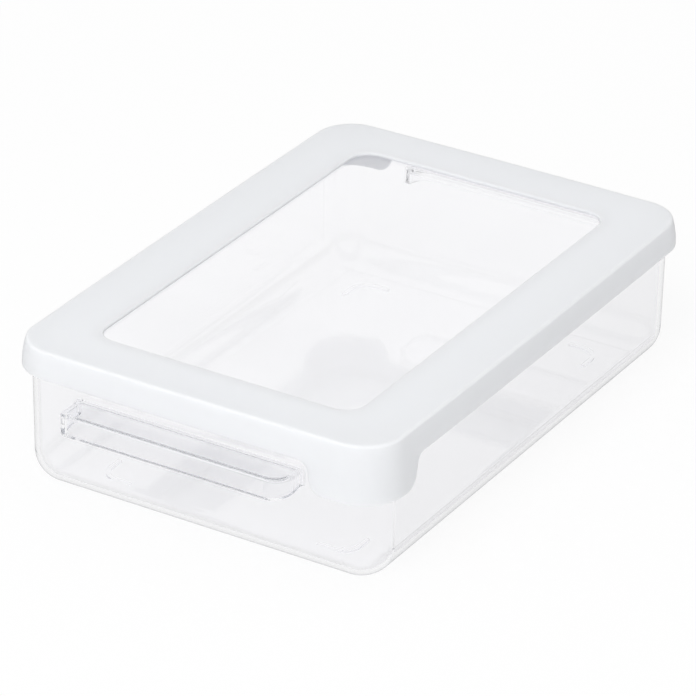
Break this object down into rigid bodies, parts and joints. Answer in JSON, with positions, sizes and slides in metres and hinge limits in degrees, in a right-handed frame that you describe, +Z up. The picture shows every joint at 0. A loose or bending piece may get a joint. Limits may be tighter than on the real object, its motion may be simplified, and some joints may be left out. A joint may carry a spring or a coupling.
{
  "type": "snack storage box",
  "caption": "Flat clear food container with hook finger grips and a lift-off white frame lid with a clear window and deep corner tabs.",
  "frame": {"origin": "on the surface that the box stands on, under the middle of the box", "axes": "+X across the box, +Y along it from one finger grip to the other, +Z up through the lid"},
  "size_m": [0.1746, 0.273, 0.065],
  "materials": {
    "clear_body": "clear, polished mould",
    "white_lid": "white, semi-gloss mould",
    "clear_window": "clear, polished mould"
  },
  "bodies": {
    "container": {"container_body": "clear_body"},
    "lid": {"lid_frame": "white_lid", "lid_window": "clear_window"}
  },
  "joints": [
    {"name": "lid_lift", "type": "slide", "parent": "container", "child": "lid", "axis": [0, 0, 1], "range_m": [0, 0.06]}
  ]
}
